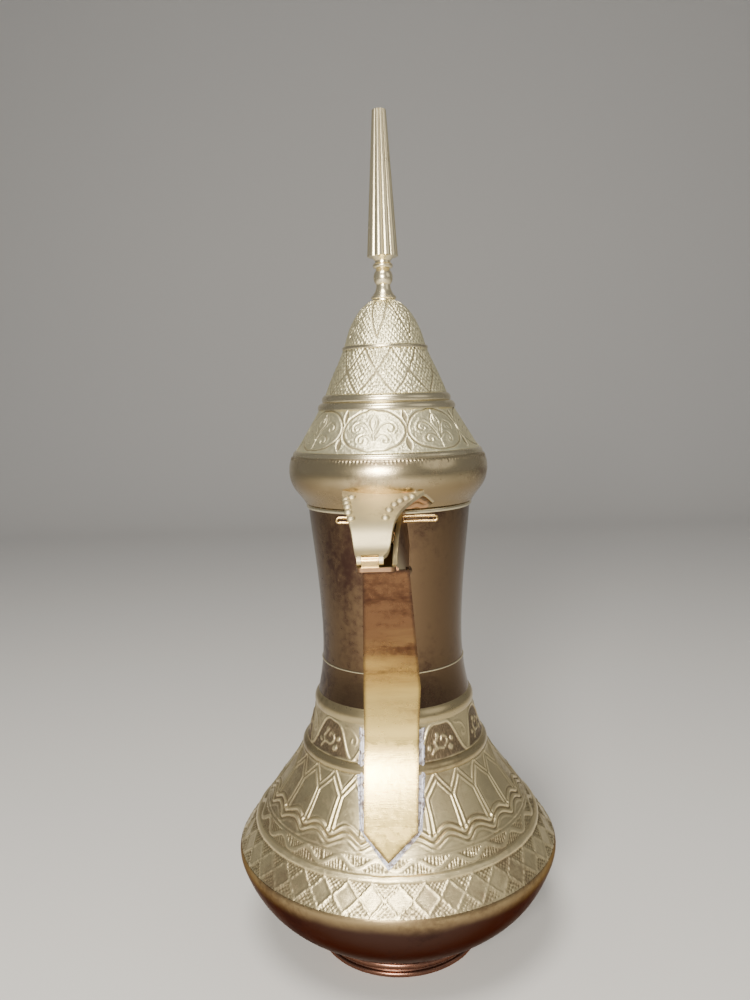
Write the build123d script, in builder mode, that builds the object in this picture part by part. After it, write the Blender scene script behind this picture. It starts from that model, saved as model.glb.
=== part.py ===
"""Dallah coffee pot in brass: a two-part belly on a foot ring, a flared neck with a beak spout,
a 7-shaped hollow handle, and a bell-shaped hinged lid with a tall fluted finial.

Millimetres, +Z up. The origin is at the centre of the foot's underside. The handle points to -Y
and the spout to +Y. The lid swings back over the handle about an axis along X.
"""
import os
from math import pi, sin

from build123d import *

os.makedirs("parts", exist_ok=True)

# Sheet metal
body_wall = 1.4
lid_wall = 1.2
handle_sheet = 1.2
trim_proud = 1.0        # how far the soldered bands stand off the body

# Body heights
foot_height = 6.0
belly_seam_z = 44.7
neck_seam_z = 103.5
neck_top_z = 180.4
rim_top_z = 182.2

# Lid heights
lid_bottom_z = 182.3
lid_joint_z = 202.0
lid_band_z = 221.3
lid_wire_z = 242.0
lid_top_z = 260.4
finial_top_z = 331.0

# Handle and hinge, on the -Y side. The maker set the arm and the hinge a little to one side.
hinge_x = -6.6
hinge_y = -65.9
hinge_z = 170.4
tab_width = 5.6
knuckle_width = 1.4
knuckle_radius = 1.6
pin_radius = 0.8
hinge_play = 0.06       # radial running clearance round the pin
side_play = 0.12        # clearance each side of the hinge tab
arm_reach = 68.5        # the lip's distance from the pot's axis

# Spout, on the +Y side
spout_reach = 68.5
spout_top_z = 203.0
spout_wall = 1.2
collar_sheet = 0.9
window_z = 146.0        # middle of the pouring window in the neck
rivet_radius = 1.1
# Rivet places as x and z, on both sides of the spout and of the handle
collar_rivets = [(15.2, 163.0), (14.0, 148.0), (10.6, 132.0)]
bracket_rivet = (5.6, 159.5)

# Wire link that ties the arm to the neck, through the arm's side walls
wire_gauge = 1.05
wire_gap = 1.8          # between the two strands, centre to centre
wire_y = -37.6
wire_z = 179.7
wire_ends = (-17.8, 16.0)


# ---------------------------------------------------------------- outlines of revolution
def bowl_curve():
    """Underside of the pot, from the foot to the belly seam."""
    return Spline(
        (31.4, foot_height), (45.0, 14.6), (57.0, 25.4), (64.1, 38.5), (64.5, belly_seam_z),
        tangents=[(1, 0.5), (-0.5, 1)],
    )


def upper_curve():
    """Shoulder and neck in one sweep, from the belly seam to the neck's rim."""
    return Spline(
        (64.5, belly_seam_z), (56.0, 56.8), (46.2, 70.0), (37.6, 83.0), (32.0, 100.0),
        (28.8, 116.0), (28.2, 135.0), (29.6, 156.0), (32.2, rim_top_z),
        tangents=[(-0.55, 0.8), (0.09, 1)],
    )


def skirt_curve():
    """The lid's plain rounded bulge."""
    return Spline(
        (33.0, lid_bottom_z), (37.4, 188.4), (39.2, 195.2), (36.7, lid_joint_z),
        tangents=[(0.5, 1), (-0.75, 0.7)],
    )


def cone_curve():
    """The lid's engraved cone and dome, from the joint with the skirt to the finial."""
    return Spline(
        (36.7, lid_joint_z), (30.7, 211.4), (25.1, lid_band_z), (21.0, 231.0), (16.1, lid_wire_z),
        (13.9, 248.8), (10.6, 254.9), (3.0, lid_top_z),
        tangents=[(-0.72, 1), (-1, 0.14)],
    )


def sheet(curve, thickness, low, high, samples=12):
    """Section of a sheet inside a curve, of even thickness, kept between two heights.

    A negative thickness puts the sheet on the curve's outer side.
    """
    with BuildSketch(Plane.XZ) as section:
        with BuildLine():
            skin = curve()
            inner = []
            for i in range(samples + 1):
                point, along = skin @ (i / samples), skin % (i / samples)
                inner.append((point.X - thickness * along.Y, point.Y + thickness * along.X))
            Spline(*inner)
            Line(skin @ 0, inner[0])
            Line(skin @ 1, inner[-1])
        make_face()
        with Locations((50, (low + high) / 2)):
            Rectangle(100, high - low, mode=Mode.INTERSECT)
    return section.sketch


def filled(*curves):
    """Face between the curves and the pot's axis. It is only used to trim other pieces."""
    with BuildSketch(Plane.XZ) as section:
        with BuildLine():
            lines = [curve() for curve in curves]
            first, last = lines[0] @ 0, lines[-1] @ 1
            Polyline((last.X, last.Y), (0, last.Y), (0, first.Y), (first.X, first.Y))
        make_face()
    return section.sketch


def turned(section):
    with BuildPart() as core:
        with BuildSketch(Plane.XZ):
            add(section)
        revolve(axis=Axis.Z)
    return core.part


pot_section = filled(bowl_curve, upper_curve)
lid_section = filled(skirt_curve, cone_curve)
pot_core = turned(pot_section)
lid_core = turned(lid_section)


def save(builder, name):
    builder.part.label = name
    export_step(builder.part, f"parts/{name}.step")


# ---------------------------------------------------------------- body
with BuildPart() as foot_ring:
    with BuildSketch(Plane.XZ):
        with BuildLine():
            Polyline((26.5, foot_height), (27.5, 0), (32.3, 0))
            ThreePointArc((32.3, 0), (33.5, 1.2), (32.5, 2.4))
            Line((32.5, 2.4), (32.2, 3.1))
            ThreePointArc((32.2, 3.1), (33.6, 4.4), (32.6, foot_height))
            Line((32.6, foot_height), (26.5, foot_height))
        make_face()
        add(pot_section, mode=Mode.SUBTRACT)
    revolve(axis=Axis.Z)
save(foot_ring, "foot_ring")

with BuildPart() as bowl:
    with BuildSketch(Plane.XZ):
        add(sheet(bowl_curve, body_wall, foot_height, belly_seam_z))
        with Locations((16.5, foot_height + body_wall / 2)):
            Rectangle(33.0, body_wall)
    revolve(axis=Axis.Z)
save(bowl, "bowl")

with BuildPart() as shoulder:
    with BuildSketch(Plane.XZ):
        add(sheet(upper_curve, body_wall, belly_seam_z, neck_seam_z))
    revolve(axis=Axis.Z)
save(shoulder, "shoulder")


def band(low, high, proud, under):
    """Half-round band between two points (radius, height) of the section it is soldered on."""
    (r0, z0), (r1, z1) = low, high
    length = ((r1 - r0) ** 2 + (z1 - z0) ** 2) ** 0.5
    crown = ((r0 + r1) / 2 + proud * (z1 - z0) / length, (z0 + z1) / 2 + proud * (r0 - r1) / length)
    with BuildSketch(Plane.XZ) as section:
        with BuildLine():
            ThreePointArc(low, crown, high)
            Polyline(high, (r1 - 2, z1), (r0 - 2, z0), low)
        make_face()
        add(under, mode=Mode.SUBTRACT)
    return section.sketch


with BuildPart() as lower_waist_band:
    with BuildSketch(Plane.XZ):
        add(band((37.5, 83.2), (35.8, 87.2), trim_proud, pot_section))
    revolve(axis=Axis.Z)
save(lower_waist_band, "lower_waist_band")

with BuildPart() as upper_waist_band:
    with BuildSketch(Plane.XZ):
        add(band((31.9, 100.6), (30.3, 106.4), trim_proud, pot_section))
    revolve(axis=Axis.Z)
save(upper_waist_band, "upper_waist_band")


# ---------------------------------------------------------------- spout
def spout_keel(s):
    """Lowest line of the beak, from the neck (s = 0) to the tip (s = 1)."""
    return blend((20.0, 118.0), (64.0, 128.0), (spout_reach, spout_top_z - 1.2), s)


def spout_brim(s):
    """Upper, open edge of the beak."""
    return blend((20.0, 168.0), (50.0, 170.0), (spout_reach - 2.2, spout_top_z), s)


def blend(start, control, end, s):
    return tuple(
        (1 - s) ** 2 * a + 2 * s * (1 - s) * b + s ** 2 * c for a, b, c in zip(start, control, end)
    )


def spout_solid(inset, lift):
    """Beak made of V-shaped sections, drawn in by inset and raised above its brim by lift."""
    with BuildPart(mode=Mode.PRIVATE) as beak:
        for s in (0.0, 0.3, 0.6, 0.85, 1.0):
            (y0, z0), (y1, z1) = spout_brim(s), spout_keel(s)
            depth = ((y1 - y0) ** 2 + (z1 - z0) ** 2) ** 0.5
            down = Vector(0, (y1 - y0) / depth, (z1 - z0) / depth)
            half = 1.9 + 12.5 * (1 - s) ** 0.9 - inset
            keel = depth - inset * 1.4
            plane = Plane(origin=(0, y0, z0), x_dir=(1, 0, 0), z_dir=Vector(1, 0, 0).cross(down))
            with BuildSketch(plane):
                with BuildLine():
                    ThreePointArc((-half, -lift), (-0.78 * half, 0.55 * keel), (0, keel))
                    ThreePointArc((0, keel), (0.78 * half, 0.55 * keel), (half, -lift))
                    Line((half, -lift), (-half, -lift))
                make_face()
        loft()
    return beak.part


spout_outer = spout_solid(0.0, 0.0)
spout_inner = spout_solid(spout_wall, 1.5)

with BuildPart() as spout:
    add(spout_outer)
    add(spout_inner, mode=Mode.SUBTRACT)
    add(pot_core, mode=Mode.SUBTRACT)
save(spout, "spout")
with BuildLine() as upper_line:
    upper_curve()


def neck_radius(z):
    """Outer radius of the neck at a height."""
    level = Edge.make_line((0, z, 0), (80, z, 0))
    return upper_line.edges()[0].intersect(level)[0].X


def rivet_planes(places, toward):
    """A plane on the neck's outer skin for each rivet, facing outwards on the +Y or -Y side."""
    planes = []
    for x, z in places:
        reach = neck_radius(z)
        outward = Vector(x / reach, toward * (1 - (x / reach) ** 2) ** 0.5, 0)
        planes.append(Plane(origin=outward * reach + Vector(0, 0, z), x_dir=(0, 0, 1), z_dir=outward))
    return planes


def rivets(planes, grip):
    """Rivets through the neck and a sheet of thickness grip, with a domed head outside."""
    with BuildPart() as group:
        for place in planes:
            with Locations(place):
                with Locations((0, 0, -body_wall - 0.9)):
                    Cylinder(rivet_radius * 1.7, 0.9, align=(Align.CENTER, Align.CENTER, Align.MIN))
                with Locations((0, 0, -body_wall - 0.5)):
                    Cylinder(rivet_radius - 0.03, body_wall + grip + 1.0,
                             align=(Align.CENTER, Align.CENTER, Align.MIN))
                with Locations((0, 0, grip - 0.1)):
                    Cylinder(rivet_radius * 1.9, 0.4, align=(Align.CENTER, Align.CENTER, Align.MIN))
                with Locations((0, 0, grip + 0.3)):
                    Cone(rivet_radius * 1.9, rivet_radius, 0.8, align=(Align.CENTER, Align.CENTER, Align.MIN))
    return group.part


spout_planes = rivet_planes([(side * x, z) for side in (-1, 1) for x, z in collar_rivets], 1)
handle_planes = rivet_planes([(side * bracket_rivet[0], bracket_rivet[1]) for side in (-1, 1)], -1)

with BuildPart() as neck:
    with BuildSketch(Plane.XZ):
        add(sheet(upper_curve, body_wall, neck_seam_z, neck_top_z))
    revolve(axis=Axis.Z)
    with BuildSketch(Plane.XZ.offset(-40)):
        with Locations((0, window_z)):
            SlotOverall(30, 13, rotation=90)
    extrude(amount=40, mode=Mode.SUBTRACT)
    for place in spout_planes + handle_planes:
        with Locations(place):
            Cylinder(rivet_radius, 12, mode=Mode.SUBTRACT)
save(neck, "neck")

with BuildPart() as rim_bead:
    with BuildSketch(Plane.XZ):
        with Locations((31.9, rim_top_z - 0.95)):
            Circle(0.95)
        with Locations((31.9, neck_top_z - 1)):
            Rectangle(4, 2, mode=Mode.SUBTRACT)
    revolve(axis=Axis.Z)
save(rim_bead, "rim_bead")

# Pierced sheet inside the neck, behind the pouring window, that holds back the grounds.
with BuildPart() as spout_strainer:
    with BuildSketch(Plane.XZ):
        add(sheet(upper_curve, body_wall + 0.7, window_z - 18, window_z + 18))
        add(sheet(upper_curve, body_wall, window_z - 19, window_z + 19), mode=Mode.SUBTRACT)
    revolve(axis=Axis.Z)
    with BuildSketch(Plane.XZ.offset(-40)):
        with Locations((0, window_z)):
            Rectangle(16, 40)
    extrude(amount=40, mode=Mode.INTERSECT)
    with BuildSketch(Plane.XZ.offset(-40)):
        with Locations((0, window_z)):
            with GridLocations(3.4, 3.8, 3, 7):
                Circle(0.9)
    extrude(amount=40, mode=Mode.SUBTRACT)
save(spout_strainer, "spout_strainer")

# Sheet collar round the spout's root.
with BuildPart() as spout_collar:
    with BuildSketch(Plane.XZ):
        add(sheet(upper_curve, -collar_sheet, 122, 172))
        add(pot_section, mode=Mode.SUBTRACT)
    revolve(axis=Axis.Z)
    with BuildSketch(Plane.XZ.offset(-40)):
        with BuildLine():
            ThreePointArc((-17.6, 171.0), (-16.6, 144.0), (0, 122.5))
            ThreePointArc((0, 122.5), (16.6, 144.0), (17.6, 171.0))
            Line((17.6, 171.0), (-17.6, 171.0))
        make_face()
    extrude(amount=40, mode=Mode.INTERSECT)
    add(spout_outer, mode=Mode.SUBTRACT)
    for place in spout_planes:
        with Locations(place):
            Cylinder(rivet_radius, 12, mode=Mode.SUBTRACT)
save(spout_collar, "spout_collar")

with BuildPart() as spout_rivet_group:
    add(rivets(spout_planes, collar_sheet))
    add(spout_collar.part, mode=Mode.SUBTRACT)
    add(neck.part, mode=Mode.SUBTRACT)
save(spout_rivet_group, "spout_rivets")


# ---------------------------------------------------------------- handle
def prism_x(points, low, high):
    """Solid with an outline in the YZ plane, between two values of x."""
    with BuildPart() as block:
        with BuildSketch(Plane.YZ.offset(low)):
            with BuildLine():
                Polyline(*points, close=True)
            make_face()
        extrude(amount=high - low)
    return block.part


def prism_z(points, low, high):
    """Solid with an outline in the XY plane, between two heights."""
    with BuildPart() as block:
        with BuildSketch(Plane.XY.offset(low)):
            with BuildLine():
                Polyline(*points, close=True)
            make_face()
        extrude(amount=high - low)
    return block.part


lip_half = 6.3          # half the lip's width
arm_lip_x = -4.7        # middle of the arm's lip
arm_root_y = -26.0      # the arm's inner end, inside the neck
shelf = 5.0             # depth of the shallow shelf behind the lip
lip_z, brim_root_z = 168.4, 181.8
lip_sheet = 1.4
lip_recess = 0.6
# Corners of the arm's cross-section, as x and z: the walls lean to one side at the lip, where the
# hinge sits left of the strap, and stand nearly upright at the neck.
lip_corners = [(-8.3, 160.0), (7.6, 160.0), (-0.6, 169.0), (-11.0, 169.0)]
root_corners = [(-6.3, 160.0), (8.0, 160.0), (6.3, 190.0), (-6.3, 190.0)]


def arm_walls(inset, end):
    """Solid between the arm's side walls, drawn in by inset, from y = end to the neck."""
    with BuildPart() as walls:
        for y in (end, arm_root_y):
            share = (y + arm_reach) / (arm_root_y + arm_reach)
            corners = []
            for (x0, z0), (x1, z1), side in zip(lip_corners, root_corners, (1, -1, -1, 1)):
                corners.append((x0 + share * (x1 - x0) + side * inset * 1.3, z0 + share * (z1 - z0)))
            with BuildSketch(Plane.XZ.offset(-y)):
                with BuildLine():
                    Polyline(*corners, close=True)
                make_face()
        loft(ruled=True)
    return walls.part


def lip_plate(inset, length, height, thickness):
    """Plate with rounded corners under the hinge, drawn in by inset from the lip's edge."""
    with BuildPart() as plate:
        with BuildSketch(Plane.XY.offset(height)):
            with Locations((arm_lip_x, -arm_reach + inset + length / 2)):
                RectangleRounded(2 * (lip_half - inset), length, 1.6 - inset)
        extrude(amount=thickness)
    return plate.part


# Envelope of the arm: a box that deepens towards the neck, and a thin shelf with a rounded lip.
# The box's end slants with the strap, which covers it.
with BuildPart() as arm_block:
    add(arm_walls(0, -arm_reach))
    add(prism_x([(-26, 169.5), (-62.7, 162.6), (-64.8, lip_z - lip_sheet), (-64.8, lip_z),
                 (-arm_reach + shelf, lip_z), (wire_y, brim_root_z), (-26, brim_root_z)],
                -20, 20), mode=Mode.INTERSECT)
    add(lip_plate(0, 8.0, lip_z - lip_sheet, lip_sheet))

with BuildPart() as handle_arm:
    add(arm_block.part)
    # Hollow: deep inside, shallow over the shelf.
    with BuildPart(mode=Mode.PRIVATE) as hollow:
        add(arm_walls(handle_sheet, -arm_reach + shelf))
        add(prism_x([(-20, 170.7), (-arm_reach + shelf, 164.0), (-arm_reach + shelf, 195), (-20, 195)],
                    -20, 20), mode=Mode.INTERSECT)
    add(hollow.part, mode=Mode.SUBTRACT)
    add(lip_plate(0.9, shelf - 0.7, lip_z - lip_recess, 10), mode=Mode.SUBTRACT)
    add(pot_core, mode=Mode.SUBTRACT)
    add(rim_bead.part, mode=Mode.SUBTRACT)
    # Slots for the tie wire through both side walls.
    with Locations((0, wire_y, wire_z)):
        Box(40, wire_gauge + 0.3, wire_gap + wire_gauge + 0.3, mode=Mode.SUBTRACT)
save(handle_arm, "handle_arm")

# Curved plate between the arm and the neck, held by two rivets.
with BuildPart() as handle_bracket:
    with BuildSketch(Plane.XZ):
        add(sheet(upper_curve, -1.0, 155.5, 168.0))
        add(pot_section, mode=Mode.SUBTRACT)
    revolve(axis=Axis.Z)
    with BuildSketch(Plane.XZ.offset(20)):
        with Locations((0, 162)):
            RectangleRounded(15.8, 12.6, 3)
    extrude(amount=30, mode=Mode.INTERSECT)
    for place in handle_planes:
        with Locations(place):
            Cylinder(rivet_radius, 12, mode=Mode.SUBTRACT)
    add(handle_arm.part, mode=Mode.SUBTRACT)
save(handle_bracket, "handle_bracket")

with BuildPart() as handle_rivet_group:
    add(rivets(handle_planes, 1.0))
    add(handle_bracket.part, mode=Mode.SUBTRACT)
    add(neck.part, mode=Mode.SUBTRACT)
save(handle_rivet_group, "handle_rivets")


def strap_face():
    """Outer face of the strap from the side: it slants in to the waist and flares with the belly."""
    return Spline(
        (-66.4, lip_z - lip_sheet), (-56.0, 146.0), (-44.5, 125.5), (-38.2, 111.0), (-36.9, 101.5),
        (-39.2, 90.0), (-44.8, 78.0), (-51.9, 67.0), (-58.4, 57.8),
        tangents=[(0.42, -1), (-0.66, -1)],
    )


def strap_side(shift, depth):
    """Solid behind the strap's face: the face moved in by shift, and a band of that depth."""
    with BuildPart() as side:
        with BuildSketch(Plane.YZ.offset(-20)):
            with BuildLine():
                face = strap_face()
                top, bottom = face @ 0, face @ 1
                Polyline((top.X, top.Y), (top.X + depth, top.Y), (-56.5 + depth, 146.0),
                         (-45.0 + depth, 125.5), (-33.0, 108.5), (-28.0, 100), (-28.0, bottom.Y),
                         (bottom.X, bottom.Y))
            make_face()
        extrude(amount=40)
    return side.part.moved(Location((0, shift, 0)))


def strap_plan(inset):
    """The strap seen from behind: it widens from the lip to the waist and ends in a point."""
    top, waist, shoulder_z, tip_z = 170.0, 118.0, 68.8, 60.6
    with BuildPart() as plan:
        with BuildSketch(Plane.XZ.offset(20)):
            with BuildLine():
                Polyline(
                    (-9.0 + inset, top), (-10.9 + inset, waist), (-12.0 + inset, shoulder_z + inset * 0.4),
                    (-3.4, tip_z + inset * 1.3), (7.4 - inset, shoulder_z + inset * 0.4),
                    (9.8 - inset, waist), (5.9 - inset, top), close=True,
                )
            make_face()
        extrude(amount=60)
    return plan.part


# Film of solder that beds the strap's lower half on the waist and the belly.
with BuildPart() as handle_solder:
    with BuildSketch(Plane.XZ):
        add(sheet(upper_curve, -0.4, 57.5, 99.0))
        add(pot_section, mode=Mode.SUBTRACT)
    revolve(axis=Axis.Z)
    with BuildSketch(Plane.XZ.offset(10)):
        with BuildLine():
            Polyline((-12.4, 99.0), (-14.4, 84.0), (-13.6, 68.0), (-3.4, 57.5), (9.0, 67.5),
                     (10.9, 84.0), (10.2, 99.0), close=True)
        make_face()
    extrude(amount=60, mode=Mode.INTERSECT)
    add(lower_waist_band.part, mode=Mode.SUBTRACT)
save(handle_solder, "handle_solder")

with BuildPart() as handle_strap:
    add(strap_side(0, 5.5))
    add(strap_plan(0), mode=Mode.INTERSECT)
    with BuildPart(mode=Mode.PRIVATE) as strap_hollow:
        add(strap_side(handle_sheet * 1.15, 30))
        add(strap_plan(handle_sheet), mode=Mode.INTERSECT)
    add(strap_hollow.part, mode=Mode.SUBTRACT)
    for trim in (pot_core, upper_waist_band.part, lower_waist_band.part, handle_solder.part):
        add(trim, mode=Mode.SUBTRACT)
    add(arm_block.part, mode=Mode.SUBTRACT)
save(handle_strap, "handle_strap")

# Closed wire link: two strands with a half ring at each end.
with BuildPart() as tie_wire:
    for x_end, turn in zip(wire_ends, (-1, 1)):
        with BuildSketch(Plane.YZ.offset(x_end)):
            with Locations((wire_y, wire_z + wire_gap / 2)):
                Circle(wire_gauge / 2)
        revolve(axis=Axis((x_end, wire_y, wire_z), (0, turn, 0)), revolution_arc=180)
    with BuildSketch(Plane.YZ.offset(wire_ends[0])):
        with Locations((wire_y, wire_z + wire_gap / 2), (wire_y, wire_z - wire_gap / 2)):
            Circle(wire_gauge / 2)
    extrude(amount=wire_ends[1] - wire_ends[0])
save(tie_wire, "tie_wire")


# ---------------------------------------------------------------- hinge
hinge_axis = Plane(origin=(hinge_x, hinge_y, hinge_z), x_dir=(0, 1, 0), z_dir=(1, 0, 0))
tab_sheet = 0.9
shelf_top = lip_z - lip_recess

# Tab curled up from the arm's lip, round the pin.
with BuildPart() as hinge_tab:
    with Locations(hinge_axis):
        Cylinder(knuckle_radius, tab_width)
    with Locations((hinge_x, hinge_y - knuckle_radius + tab_sheet / 2, shelf_top)):
        Box(tab_width, tab_sheet, hinge_z - shelf_top, align=(Align.CENTER, Align.CENTER, Align.MIN))
    with Locations((hinge_x, hinge_y, shelf_top)):
        Box(tab_width, 2 * knuckle_radius, lip_recess, align=(Align.CENTER, Align.CENTER, Align.MIN))
    with Locations(hinge_axis):
        Cylinder(pin_radius, 2 * tab_width, mode=Mode.SUBTRACT)
save(hinge_tab, "hinge_tab")

with BuildPart() as hinge_pin:
    with Locations(hinge_axis):
        Cylinder(pin_radius, tab_width + 2 * (side_play + knuckle_width))
save(hinge_pin, "hinge_pin")


# ---------------------------------------------------------------- lid
with BuildPart() as lid_skirt:
    with BuildSketch(Plane.XZ):
        add(sheet(skirt_curve, lid_wall, lid_bottom_z, lid_joint_z))
    revolve(axis=Axis.Z)
save(lid_skirt, "lid_skirt")

with BuildPart() as lid_cone:
    with BuildSketch(Plane.XZ):
        add(sheet(cone_curve, lid_wall, lid_joint_z, lid_band_z))
    revolve(axis=Axis.Z)
save(lid_cone, "lid_cone")

with BuildPart() as lid_dome:
    with BuildSketch(Plane.XZ):
        add(sheet(cone_curve, lid_wall, lid_band_z, lid_top_z))
    revolve(axis=Axis.Z)
save(lid_dome, "lid_dome")

with BuildPart() as lid_joint_bead:
    with BuildSketch(Plane.XZ):
        add(band((37.4, lid_joint_z - 1.0), (36.1, lid_joint_z + 1.0), 0.5, lid_section))
    revolve(axis=Axis.Z)
save(lid_joint_bead, "lid_joint_bead")

with BuildPart() as lid_band:
    with BuildSketch(Plane.XZ):
        add(band((27.0, lid_band_z - 2.9), (25.1, lid_band_z), 0.8, lid_section))
        add(band((25.1, lid_band_z), (23.8, lid_band_z + 3.0), 0.8, lid_section))
    revolve(axis=Axis.Z)
save(lid_band, "lid_band")

with BuildPart() as lid_wire:
    with BuildSketch(Plane.XZ):
        add(band((16.6, lid_wire_z - 0.7), (16.0, lid_wire_z + 0.7), 0.5, lid_section))
    revolve(axis=Axis.Z)
save(lid_wire, "lid_wire")

# Tapered collar inside the lid that drops into the neck's mouth.
with BuildPart() as lid_bezel:
    with BuildSketch(Plane.XZ):
        with BuildLine():
            Polyline((28.0, 177.2), (29.0, 177.2), (30.3, 182.4), (33.5, 182.4), (33.5, 183.6), (29.2, 183.6),
                     close=True)
        make_face()
        add(sheet(skirt_curve, lid_wall, lid_bottom_z, lid_joint_z), mode=Mode.SUBTRACT)
        with Locations((36.0, 183.0)):
            Rectangle(6.5, 3, mode=Mode.SUBTRACT)
    revolve(axis=Axis.Z)
save(lid_bezel, "lid_bezel")


def tongue_flanks():
    """The two long edges of the tongue from above: it fans out where it meets the lid."""
    end = tab_width / 2 + side_play + knuckle_width
    left = Spline((hinge_x - end, hinge_y), (-12.6, -57.0), (-14.8, -47.0), (-16.4, -38.0), (-16.6, -28.0))
    right = Spline((hinge_x + end, hinge_y), (0.8, -56.5), (3.4, -48.0), (7.6, -42.0), (12.6, -36.6))
    return left, right


tongue_sheet = 1.2
with BuildPart() as lid_tongue:
    # Side view: a bent strip from the lid's bulge to the hinge.
    with BuildSketch(Plane.YZ.offset(-20)):
        with BuildLine():
            upper = Spline((-28.0, 192.2), (-37.0, 189.0), (-47.0, 184.0), (-57.0, 177.9),
                           (hinge_y, hinge_z + knuckle_radius), tangents=[(-1, -0.3), (-1, 0)])
            lower = []
            for i in range(9):
                point, along = upper @ (i / 8), upper % (i / 8)
                lower.append((point.X - tongue_sheet * along.Y, point.Y + tongue_sheet * along.X))
            Spline(*lower)
            Line(upper @ 0, lower[0])
            Line(upper @ 1, lower[-1])
        make_face()
    extrude(amount=40)
    with BuildSketch(Plane.XY.offset(150)):
        with BuildLine():
            left, right = tongue_flanks()
            Line(left @ 0, right @ 0)
            Polyline(left @ 1, (12.6, -28.0), right @ 1)
        make_face()
    extrude(amount=60, mode=Mode.INTERSECT)
    add(lid_core, mode=Mode.SUBTRACT)
    # Slot for the hinge tab, then the two knuckles at its sides.
    with Locations(hinge_axis):
        Cylinder(knuckle_radius + 0.3, tab_width + 2 * side_play, mode=Mode.SUBTRACT)
    for side in (-1, 1):
        shift = side * (tab_width / 2 + side_play + knuckle_width / 2)
        with Locations(hinge_axis.offset(shift)):
            Cylinder(knuckle_radius, knuckle_width)
    with Locations(hinge_axis):
        Cylinder(pin_radius + hinge_play, 20, mode=Mode.SUBTRACT)
save(lid_tongue, "lid_tongue")


# ---------------------------------------------------------------- finial
rod_radius = 1.3
rod_low_z, rod_top_z = 253.0, 300.0
stem_base_z, stem_top_z, flute_z = 262.6, 275.2, 276.8
flutes = 10

with BuildPart() as finial_base:
    with BuildSketch(Plane.XZ):
        with BuildLine():
            Polyline((rod_radius, stem_base_z), (rod_radius, 259.0), (4.5, 259.0), (4.5, 260.6))
            ThreePointArc((4.5, 260.6), (4.9, 261.3), (4.3, 262.0))
            Line((4.3, 262.0), (3.9, stem_base_z))
            Line((3.9, stem_base_z), (rod_radius, stem_base_z))
        make_face()
        add(lid_section, mode=Mode.SUBTRACT)
    revolve(axis=Axis.Z)
save(finial_base, "finial_base")

with BuildPart() as finial_stem:
    with BuildSketch(Plane.XZ):
        with BuildLine():
            Line((rod_radius, stem_base_z), (3.9, stem_base_z))
            ThreePointArc((3.9, stem_base_z), (3.0, 264.4), (2.7, 266.2))
            ThreePointArc((2.7, 266.2), (3.75, 268.9), (2.8, 271.6))
            Line((2.8, 271.6), (2.5, 272.4))
            ThreePointArc((2.5, 272.4), (3.9, 273.4), (3.0, 274.4))
            Polyline((3.0, 274.4), (3.0, stem_top_z), (rod_radius, stem_top_z), (rod_radius, stem_base_z))
        make_face()
    revolve(axis=Axis.Z)
save(finial_stem, "finial_stem")


def reeded(radius, height):
    """Cross-section of the spire: round reeds side by side about a core."""
    reed = radius * sin(pi / flutes) * 1.04
    with BuildSketch(Plane.XY.offset(height)) as section:
        Circle(radius * 0.80)
        with PolarLocations(radius - reed, flutes):
            Circle(reed)
    return section.sketch


with BuildPart() as finial_spire:
    with BuildSketch(Plane.XZ):
        with BuildLine():
            Line((0, stem_top_z), (3.0, stem_top_z))
            ThreePointArc((3.0, stem_top_z), (3.9, 276.2), (5.0, flute_z + 0.4))
            Polyline((5.0, flute_z + 0.4), (0, flute_z + 0.4), (0, stem_top_z))
        make_face()
    revolve(axis=Axis.Z)
    add(reeded(6.0, flute_z))
    add(reeded(2.7, finial_top_z))
    loft()
    Cylinder(rod_radius, 2 * rod_top_z, mode=Mode.SUBTRACT)
save(finial_spire, "finial_spire")

with BuildPart() as finial_rod:
    with Locations((0, 0, rod_low_z)):
        Cylinder(rod_radius, rod_top_z - rod_low_z, align=(Align.CENTER, Align.CENTER, Align.MIN))
save(finial_rod, "finial_rod")

with BuildPart() as finial_washer:
    with BuildSketch(Plane.XZ):
        with Locations(((rod_radius + 4.6) / 2, 257.9)):
            Rectangle(4.6 - rod_radius, 1.4)
        add(sheet(cone_curve, lid_wall, lid_band_z, lid_top_z), mode=Mode.SUBTRACT)
    revolve(axis=Axis.Z)
save(finial_washer, "finial_washer")

with BuildPart() as finial_nut:
    with BuildSketch(Plane.XY.offset(254.6)):
        RegularPolygon(3.3, 6)
        Circle(rod_radius, mode=Mode.SUBTRACT)
    extrude(amount=257.2 - 254.6)
save(finial_nut, "finial_nut")
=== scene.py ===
"""Looks of a brass dallah coffee pot: chased sheet metal, patina, studio and camera.

Metres, in the CAD model's frame: +Z up, the foot's centre at the origin, the handle towards -Y.
The chasing is worked out in millimetres, as relief on the skins of the turned CAD pieces.
"""

from math import cos, pi, radians, sin

import bpy
import numpy as np
from mathutils import Matrix, Vector
from mathutils.bvhtree import BVHTree


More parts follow.
